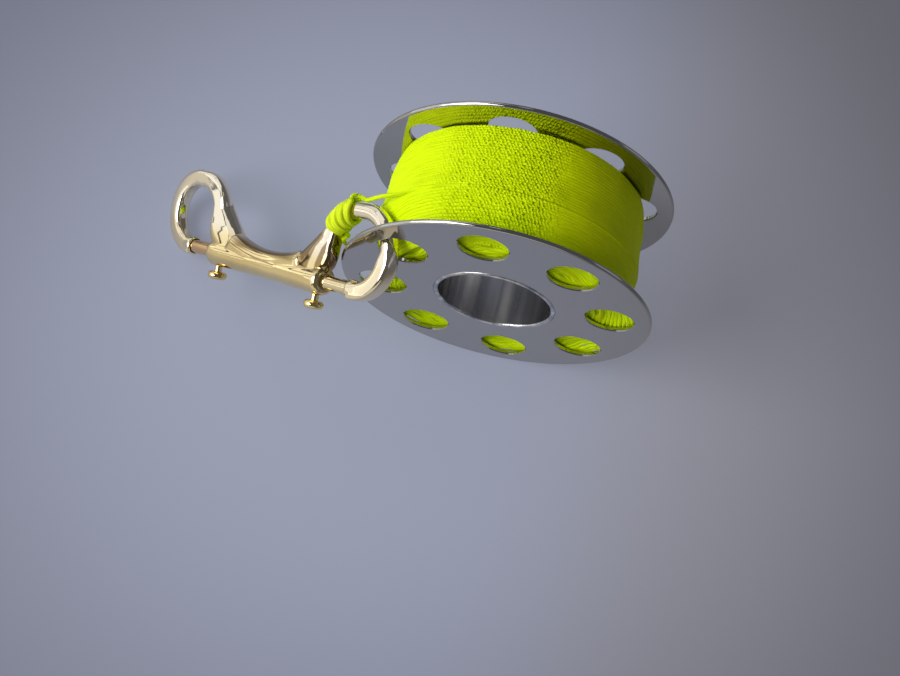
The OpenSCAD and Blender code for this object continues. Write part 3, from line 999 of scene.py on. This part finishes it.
@dataclass
class FreeLine:
    """The line between the winding and the snap: the lead, the hitch and the return."""

    place: SnapPlace
    line_d: float = 1.3 * MM
    wire_r: float = 2.6 * MM
    hitch_from: float = 106.0
    hitch_to: float = 151.5
    start_turn: float = 55.0
    full_turns: int = 3
    hitch_skew: float = 7.0
    lead_from: tuple[tuple[float, float, float], ...] = (
        (470, -3.9, 40.7), (480, -3.9, 40.7), (490, -3.9, 40.7), (495, -4.2, 40.8),
        (500, -4.4, 41.2), (505, -4.3, 42.1), (510, -4.1, 43.3),
    )
    lead_turn: tuple[tuple[float, float, float], ...] = (
        (90, -17, 3.6), (95, -14, 3.7), (99, -7, 4.0), (101.5, 1, 4.3), (103.2, 9, 4.6),
    )
    return_to: tuple[tuple[float, float, float], ...] = (
        (172, -13.4, 48.4), (176, -13.4, 47.3), (180, -12.8, 45.8), (184, -11.6, 44),
        (188, -10, 42.3), (192, -8.2, 41.2), (196, -6.6, 40.4), (200, -5.6, 40.3),
    )

    @property
    def hitch_r(self) -> float:
        """Distance of the hitch's line from the middle of the eye's wire."""
        return self.wire_r + self.line_d / 2 + 0.1 * MM

    def hitch_route(self, fine: int = 24) -> tuple[np.ndarray, np.ndarray, np.ndarray]:
        """Finds the route of the hitch in the snap's own frame.

        Args:
            fine: Steps in a turn.

        Returns:
            The route, the way out from the wire, and the degrees round the wire.
        """
        last = 180 + 360 * self.full_turns
        count = int(round((last - self.start_turn) * fine / 360))
        b = np.linspace(self.start_turn, last, count + 1)
        ends = np.clip(np.minimum(b - b[0], b[-1] - b) / 150, 0, 1)
        skew = self.hitch_skew * np.sin(np.radians(b - 75)) * ends**2 * (3 - 2 * ends)
        a = np.linspace(self.hitch_from, self.hitch_to, count + 1) + skew
        route = np.array([self.place.on_eye(x, y, self.hitch_r) for x, y in zip(a, b)])
        middle = np.array([self.place.on_eye(x, 0, 0) for x in a])
        return route, route - middle, b

    def ends_of_hitch(self) -> tuple[list[np.ndarray], list[np.ndarray]]:
        """Finds where the lead comes into the hitch and the return leaves it.

        Returns:
            Two places for the lead and two for the return, in the order of the line.
        """
        route, _, _ = self.hitch_route()
        back = unit(route[0] - route[1])
        on = unit(route[-1] - route[-2])
        lead = [route[0] + 2 * self.line_d * back, route[0] + self.line_d * back]
        tail = [route[-1] + self.line_d * on, route[-1] + 2 * self.line_d * on]
        return lead, tail

    def build_lead(self) -> bpy.types.Object:
        """Makes the stretch from the winding to the snap."""
        turn = [self.place.on_eye(a, b, r * MM) for a, b, r in self.lead_turn]
        ends, _ = self.ends_of_hitch()
        points = [on_spool(a, y * MM, r * MM) for a, y, r in self.lead_from]
        points += list(self.place.to_part(np.array(turn + ends)))
        route = smooth_route(points, 0.4 * MM)
        piece = Strand(route, route * np.array([1, 0, 1])).build("lead")
        route_length(route)
        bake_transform(piece)
        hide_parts("line_lead")
        return piece

    def build_return(self) -> bpy.types.Object:
        """Makes the stretch that goes back from the hitch to the winding."""
        _, ends = self.ends_of_hitch()
        points = list(self.place.to_part(np.array(ends)))
        points += [on_spool(a, y * MM, r * MM) for a, y, r in self.return_to]
        route = smooth_route(points, 0.4 * MM)
        piece = Strand(route, np.tile([0.0, 1.0, 0.0], (len(route), 1))).build("return_line")
        max(30 * MM, route_length(route))
        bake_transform(piece)
        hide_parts("line_return")
        return piece

    def build_hitch(self, name: str, side: int) -> bpy.types.Object:
        """Makes one of the two strands that lie side by side in the hitch.

        Args:
            name: Name of the piece.
            side: -1 for the strand nearer the tip of the eye, and 1 for the other.

        Returns:
            The new piece.
        """
        route, out, b = self.hitch_route(fine=60)
        per_turn = math.radians((self.hitch_to - self.hitch_from) / (b[-1] - b[0]) * 360)
        pitch = per_turn * (self.place.eye_r + self.hitch_r * np.cos(np.radians(b)))
        step = np.linspace(self.hitch_from, self.hitch_to, len(b))
        along = unit(np.gradient(np.array([self.place.on_eye(x, 0, 0) for x in step]), axis=0))
        # The two strands of a turn are pressed together, with a deeper valley to the next turn
        route = route + side * along * (pitch * 0.15)[:, None]
        wide = np.minimum(pitch * 0.31, 1.05 * MM)
        ends = self.ends_of_hitch()
        if side < 0:
            route = np.vstack([ends[0][1:], route])
            out = np.vstack([out[:1], out])
            wide = np.concatenate([wide[:1], wide])
        route = self.place.to_part(route)
        toward = self.place.ways_to_part(out)
        piece = Strand(route, toward, wide, 0.72 * MM, sides=14, square=2.2).build(name)
        route_length(route)
        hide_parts("line_hitch")
        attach(piece, "snap")
        return piece

    def dress(self) -> None:
        """Builds the free line."""
        pieces = [
            self.build_lead(),
            self.build_return(),
            self.build_hitch("hitch_first_strand", -1),
            self.build_hitch("hitch_second_strand", 1),
        ]
        for piece in pieces:
            # The hitch strands take the lighter copy of the line's colour, as painted light
            (Coat.HITCH_PAINTED_LIGHTER if piece.name.startswith("hitch") else Coat.LINE).put_on(piece)
            log_faces(piece)


# ------------------------------------------------------------------------- the metal


@dataclass
class SteelSpool:
    """The two flanges and the hub tube, which keep their CAD shapes."""

    nodes: dict[str, bpy.types.Object]
    finishes: tuple[tuple[str, Coat], ...] = (
        ("front_flange", Coat.FLANGE), ("rear_flange", Coat.FLANGE), ("hub_tube", Coat.HUB),
    )

    def dress(self) -> None:
        """Gives each node its finish."""
        finish_nodes(self.nodes, self.finishes)


@dataclass
class CastEye:
    """One eye of the snap: its wire is cast with flat faces and soft edges.

    Attributes:
        end: 1 for the right end of the bar, and -1 for the left.
        round_r: Radius of the round, to the middle of the wire.
        half_across: Half the wire's width in the plane of the eye.
        half_deep: Half its width through that plane.
        slim_from: Where the wire starts to be rounder, to pass through a hole, in degrees.
        slim_to: Where it has its full section again.
        face_turn: How far the front face beside the neck is turned outward, in radians.
        rear_deep: Half the wire's width through that plane on its rear side.
        rear_square: 2 where the rear side is round, and more where it is square.
    """

    end: int
    place: SnapPlace
    round_r: float = 11.9 * MM
    half_across: float = 2.7 * MM
    half_deep: float = 2.8 * MM
    slim_from: float = 999.0
    slim_to: float = 999.0
    face_turn: float = 0.0
    rear_deep: float = 2.8 * MM
    rear_square: float = 4.2
    neck: tuple[tuple[float, float, float, float], ...] = (
        (17.2, 27.6, 32.6, 2.6), (16, 26.9, 32.2, 2.72), (14, 24.9, 31.9, 2.75),
        (11.4, 22.3, 31.5, 2.8), (9, 19.7, 31.5, 2.95), (7, 17.3, 31.4, 3.1),
        (4.8, 14.2, 31.0, 3.35), (3, 11.6, 29.8, 3.55), (1.5, 9.5, 29.2, 3.7), (0, 9.4, 29.1, 3.7),
    )

    def centreline(self) -> tuple[np.ndarray, np.ndarray, np.ndarray]:
        """Finds the middle of the wire from the tip, round the eye, to the neck.

        Returns:
            The places, the way out at each, and the degrees on the round.
        """
        place = self.place
        right = place.eye_along + place.eye_half
        left = place.eye_along - place.eye_half
        points, ways, degrees = [], [], []
        for x in np.linspace(42.6 * MM, right, 4, endpoint=False):
            points.append([x, place.eye_off - self.round_r, 0])
            ways.append([0, -1, 0])
            degrees.append(-90)
        for a in np.arange(-90, 181, 4.5):
            c, s = way_at(a)
            middle = right if a <= 90 else left
            points.append([middle + self.round_r * c, place.eye_off + self.round_r * s, 0])
            ways.append([c, s, 0])
            degrees.append(a)
        points.append([points[-1][0], place.eye_off - 2.5 * MM, 0])
        ways.append([-1, 0, 0])
        degrees.append(180)
        return np.array(points), np.array(ways), np.array(degrees)

    def wire(self) -> Form:
        """Makes the wire of the eye.

        Returns:
            Vertices and faces.
        """
        points, ways, degrees = self.centreline()
        turn = round_of(48)
        rings = []
        for p, way, a in zip(points, ways, degrees):
            bounds = [self.slim_from - 14, self.slim_from, self.slim_to, self.slim_to + 14]
            slim = np.interp(a, bounds, [0, 1, 1, 0])
            power = 2 / (4.2 - 2.0 * slim)
            across = self.half_across - slim * 0.1 * MM
            deep = self.half_deep - slim * 0.18 * MM
            rear = np.sin(turn) < 0
            bend = np.where(rear, 2 / min(self.rear_square, 2 / power), power)
            x, z = pressed_round(turn, bend)
            x, z = across * x, np.where(rear, min(self.rear_deep, deep), deep) * z
            turned_by = self.face_turn * np.interp(a, [85, 130], [0, 1])
            face = np.array([0, 0, 1]) * math.cos(turned_by) + way * math.sin(turned_by)
            beside = way * math.cos(turned_by) - np.array([0, 0, 1]) * math.sin(turned_by)
            rings.append(p + x[:, None] * beside + z[:, None] * face)
        return skin(rings)

    def neck_form(self) -> Form:
        """Makes the neck, which flares from the wire into the bar.

        Returns:
            Vertices and faces.
        """
        turn = round_of(64)
        height, from_x, to_x, deep = np.array(self.neck).T * MM
        levels = np.linspace(height[0], height[-1], 34)
        rings = []
        for h in levels:
            low, high, d = (np.interp(-h, -height, column) for column in (from_x, to_x, deep))
            power = 2 / np.interp(h, [2 * MM, 9 * MM], [2.1, 4.0])
            x, z = pressed_round(turn, power)
            x, z = (low + high) / 2 + (high - low) / 2 * x, d * z
            z = z + self.face_turn * np.interp(h, [3 * MM, 9 * MM], [0.3, 1]) * (x - (low + high) / 2)
            rings.append(np.stack([x, np.full_like(x, h), z], axis=1))
        return skin(rings)

    def tip(self) -> Form:
        """Makes the tip that the bolt meets: a stub with a soft bead at its face."""
        outline = [(41.5, 0.0), (41.5, 2.75), (41.75, 3.02), (42.6, 3.1), (44, 3.0), (46, 2.7), (46, 0.0)]
        return spun([(x * MM, r * MM) for x, r in outline], 48)

    def forms(self) -> list[Form]:
        """Returns the closed forms of this end, on its own side of the bar."""
        flip = np.array([self.end, 1, 1])
        made = []
        for vertices, faces in (self.wire(), self.neck_form(), self.tip()):
            made.append((vertices * flip, faces if self.end > 0 else [f[::-1] for f in faces]))
        return made


@dataclass
class Spring:
    """The spring behind one bolt, which is pressed together as the bolt is drawn back.

    Attributes:
        end: 1 for the right end of the bar, and -1 for the left.
        coil_r: Radius of the coil, to the middle of the wire.
        inner: Where the wire's middle starts, at the end of the bore.
        outer: Where it ends, at the bolt's tail.
        travel: How far the bolt slides. Not used.
    """

    end: int
    place: SnapPlace
    wire_r: float = 0.25 * MM
    coil_r: float = 1.95 * MM
    inner: float = 2.35 * MM
    outer: float = 14.65 * MM
    curls: int = 6
    travel: float = 9.0 * MM

    def dress(self) -> None:
        """Builds the spring."""
        side = "right" if self.end > 0 else "left"
        turn = np.linspace(0, 2 * math.pi * self.curls, self.curls * 32 + 1)
        along = self.end * np.linspace(self.inner, self.outer, len(turn))
        round_it = np.stack([np.zeros_like(turn), np.cos(turn), np.sin(turn)], axis=1)
        route = round_it * self.coil_r + along[:, None] * np.array([1.0, 0, 0])
        toward = self.place.ways_to_part(round_it)
        wire = Strand(self.place.to_part(route), toward, self.wire_r, self.wire_r, sides=10)
        piece = wire.build(f"{side}_coil")
        Coat.SPRING.put_on(piece)
        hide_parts(f"{side}_spring")
        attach(piece, "snap")
        away = self.place.ways_to_part(np.array([self.end, 0.0, 0.0]))
        anchor = self.place.to_part(np.array([self.end * (self.inner - self.wire_r), 0.0, 0.0]))
        # The coil has 0.2 mm to spare at the end of the slide
        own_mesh(piece)
        log_faces(piece)


@dataclass
class BoltSnap:
    """The snap: a cast body with an eye at each end, two sprung bolts and their knobs."""

    nodes: dict[str, bpy.types.Object]
    place: SnapPlace
    voxel: float = 0.17 * MM
    bore: tuple[tuple[float, float], ...] = ((2, 0), (2, 2.38), (31.6, 2.38), (31.6, 0))
    seat: tuple[tuple[float, float], ...] = ((41, 0), (41, 2.62), (41.5, 2.55), (42.6, 1.5), (42.6, 0))
    slot_half: float = 1.4 * MM
    back_rise: float = 1.1 * MM
    back_reach: float = 15.0 * MM
    back_sweep_r: float = 60.0 * MM
    finishes: tuple[tuple[str, Coat], ...] = (
        ("left_bolt", Coat.LEFT_BOLT), ("right_bolt", Coat.RIGHT_BOLT),
        ("left_knob", Coat.KNOB), ("right_knob", Coat.KNOB),
    )

    def bar(self) -> Form:
        """Makes the barrel of the bar, which swells from its waist to its ends."""
        half = [(29.6, 0.0), (29.6, 3.3), (29.35, 3.75), (29.0, 4.2), (28.0, 4.5), (24.6, 4.5), (8.0, 4.1)]
        outline = half + [(-x, r) for x, r in reversed(half)]
        return spun([(x * MM, r * MM) for x, r in outline[::-1]], 72)

    def back(self) -> Form:
        """Makes the hollow sweep that raises the back of the bar from neck to neck."""
        reach = math.degrees(math.asin(self.back_reach / self.back_sweep_r)) * 1.25
        middle = self.back_rise + self.back_sweep_r
        x, z = pressed_round(round_of(48), 0.8)
        rings = []
        for a in np.radians(np.linspace(-reach, reach, 40)):
            way = np.array([math.sin(a), -math.cos(a), 0])
            p = np.array([0, middle, 0]) + self.back_sweep_r * way
            rings.append(p + 4.05 * MM * x[:, None] * way + 3.9 * MM * z[:, None] * np.array([0, 0, 1]))
        return skin(rings)

    def cutters(self) -> list[bpy.types.Object]:
        """Makes the forms that are cut away: the bores, the slots of the knobs, the seats."""
        made = []
        for end in (-1, 1):
            flip = np.array([end, 1, 1])
            bore, seat = (
                spun([(x * MM, r * MM) for x, r in outline], 48) for outline in (self.bore, self.seat)
            )
            turn = round_of(48)
            x = np.where(np.cos(turn) > 0, 26.0, 17.0) * MM + self.slot_half * np.cos(turn)
            z = self.slot_half * np.sin(turn)
            slot = skin([np.stack([x, np.full_like(x, y * MM), z], axis=1) for y in (-6.5, 0.0)])
            for name, (vertices, faces) in (("bore", bore), ("seat", seat), ("slot", slot)):
                made.append(mesh_piece(f"cut_{name}_{end}", vertices * flip, faces))
        return made

    def build_body(self) -> bpy.types.Object:
        """Makes the cast body: its forms flow into each other, and then it is bored.

        Returns:
            The new piece.
        """
        forms = [self.bar(), self.back()]
        forms += CastEye(
            -1, self.place, round_r=11.65 * MM, half_across=2.85 * MM, face_turn=0.17,
            rear_deep=2.58 * MM, rear_square=2.2,
        ).forms()
        forms += CastEye(1, self.place, slim_from=8.0, slim_to=160.0).forms()
        vertices, faces, start = [], [], 0
        for v, f in forms:
            vertices.append(v)
            faces += [tuple(i + start for i in face) for face in f]
            start += len(v)
        body = mesh_piece("cast_body", np.vstack(vertices), faces)
        remesh = body.modifiers.new("flow", "REMESH")
        remesh.mode, remesh.voxel_size, remesh.use_smooth_shade = "VOXEL", self.voxel, True
        apply_modifiers(body)
        self.soften(body)
        for cutter in self.cutters():
            outward(cutter)
            cut = body.modifiers.new(cutter.name, "BOOLEAN")
            cut.operation, cut.object, cut.solver = "DIFFERENCE", cutter, "MANIFOLD"
            apply_modifiers(body)
            bpy.data.objects.remove(cutter)
        body.data.transform(self.place.matrix)
        body.data.set_sharp_from_angle(angle=math.radians(38))
        return body

    def soften(self, body: bpy.types.Object) -> None:
        """Rounds the edges of the casting a little, and the roots of its necks more.

        Args:
            body: The cast body, in the snap's own frame.
        """
        group = body.vertex_groups.new(name="roots")
        for vertex in body.data.vertices:
            x, y = abs(vertex.co.x) / MM, vertex.co.y / MM
            root = 1.2 * math.exp(-(((x - 17) / 9) ** 2) - (((y - 5.0) / 3.4) ** 2))
            flank = math.exp(-((max(0.0, x - 12) / 6) ** 2) - (((y - 2.6) / 1.9) ** 2))
            group.add([vertex.index], min(1.0, max(root, flank)), "REPLACE")
        for name, times, roots in (("edges", 14, False), ("roots", 110, True)):
            smooth = body.modifiers.new(name, "SMOOTH")
            smooth.factor, smooth.iterations = 0.5, times
            if roots:
                smooth.vertex_group = "roots"
        apply_modifiers(body)

    def dress(self) -> None:
        """Builds the cast body and gives each other node its finish."""
        body = self.build_body()
        Coat.SNAP.put_on(body)
        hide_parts("snap_body")
        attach(body, "snap")
        log_faces(body)
        for end in (-1, 1):
            Spring(end, self.place).dress()
        finish_nodes(self.nodes, self.finishes)


# ------------------------------------------------------------------------ the studio


@dataclass
class Studio:
    """The floor, the lamps, the world and the camera."""

    floor_z: float = -47.5 * MM
    camera_place: tuple[float, float, float] = (0.0212, -0.1642, 0.3460)
    camera_turn: tuple[float, float, float] = (21.11, 0.0, 13.51)
    pane_away: float = 1.6
    pane_middle: tuple[float, float, float] = (-0.07, -0.02, -0.015)
    floor_half: float = 8.0

    def camera(self) -> None:
        """Sets the camera, a 50 mm lens on a 36 mm sensor."""
        data = bpy.data.cameras.new("camera")
        data.lens, data.sensor_width = 50.0, 36.0
        data.clip_start, data.clip_end = 0.01, 20.0
        made = bpy.data.objects.new("camera", data)
        made.location = self.camera_place
        made.rotation_euler = [math.radians(a) for a in self.camera_turn]
        bpy.context.scene.collection.objects.link(made)
        bpy.context.scene.camera = made

    def lamp(
        self, name: str, place: Sequence[float], size: tuple[float, float], watts: float, colour: str
    ) -> None:
        """Adds a soft box that faces the spool.

        Args:
            name: Name of the lamp.
            place: Where it stands.
            size: Its width and height.
            watts: Its power.
            colour: Its colour.
        """
        data = bpy.data.lights.new(name, "AREA")
        data.shape, data.size, data.size_y = "RECTANGLE", size[0], size[1]
        data.energy, data.color = watts, hex_colour(colour)[:3]
        made = bpy.data.objects.new(name, data)
        made.location = place
        aim = Vector((-0.02, 0, 0)) - Vector(place)
        made.rotation_euler = aim.to_track_quat("-Z", "Y").to_euler()
        bpy.context.scene.collection.objects.link(made)

    def pane(self, name: str, around: tuple[float, float], up: tuple[float, float], level: float) -> None:
        """Adds a pane of the studio's lit wall, which faces the snap.

        Args:
            name: Name of the lamp.
            around: Degrees round the snap from one upright edge to the other.
            up: Degrees over its level from the lower edge to the upper one.
            level: How bright it looks, where 1 is white.
        """
        a, e = math.radians(sum(around) / 2), math.radians(sum(up) / 2)
        middle = Vector((math.cos(e) * math.cos(a), math.cos(e) * math.sin(a), math.sin(e))) * self.pane_away
        width = 2 * self.pane_away * math.cos(e) * math.tan(math.radians(around[1] - around[0]) / 2)
        height = 2 * self.pane_away * math.tan(math.radians(up[1] - up[0]) / 2)
        watts = level * math.pi * width * height
        self.lamp(name, middle + Vector(self.pane_middle), (width, height), watts, "#FFFFFF")

    def build(self) -> None:
        """Builds the floor, the lamps and the world."""
        signs, half = ((-1, -1), (1, -1), (1, 1), (-1, 1)), self.floor_half
        corners = [(x * half, y * half, self.floor_z) for x, y in signs]
        floor = mesh_piece("floor", np.array(corners), [(0, 1, 2, 3)])
        Coat.FLOOR.put_on(floor)
        floor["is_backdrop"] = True
        self.lamp("key_softbox", (-1.31, -0.61, 1.22), (1.44, 1.12), 31.0, "#FFFFFF")
        self.lamp("fill_card", (1.35, 0.1, 0.3), (1.5, 0.6), 0.7, "#EEF2FF")
        # The panes of the wall leave narrow gaps, which draw the dark lines on polished metal
        for name, first, last, low, high, level in (
            ("wall_pane_first", 151.0, 162.0, -2.0, 25.0, 0.95),
            ("wall_pane_second", 164.0, 173.5, -2.0, 25.0, 0.95),
            ("wall_pane_third", 175.0, 220.0, -2.0, 25.0, 0.9),
            ("back_pane_low", 106.0, 149.0, 3.0, 25.0, 0.6),
            ("back_pane_high", 106.0, 175.0, 26.5, 52.0, 0.75),
            ("front_pane", 226.0, 296.0, 1.0, 14.0, 0.55),
            ("top_card", 90.0, 108.0, 58.0, 70.0, 1.1),
        ):
            self.pane(name, (first, last), (low, high), level)
        world = bpy.data.worlds.new("studio_world")
        bpy.context.scene.world = world
        world.use_nodes = True
        sky = world.node_tree.nodes["Background"]
        sky.inputs["Color"].default_value = hex_colour("#E6EAF4")
        sky.inputs["Strength"].default_value = 0.125
        bpy.context.scene.view_settings.view_transform = "Standard"


def main() -> None:
    """Loads the frame, dresses the part and builds the studio round it."""
    logging.basicConfig(level=logging.INFO, format="%(name)s: %(message)s")
    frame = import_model()
    cad = [corner.copy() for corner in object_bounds()]
    place = SnapPlace()
    studio = Studio()
    studio.camera()
    FreeLine(place).dress()
    WoundLine().dress()
    SteelSpool(frame["nodes"]).dress()
    BoltSnap(frame["nodes"], place).dress()
    studio.build()


if __name__ == "__main__":
    main()
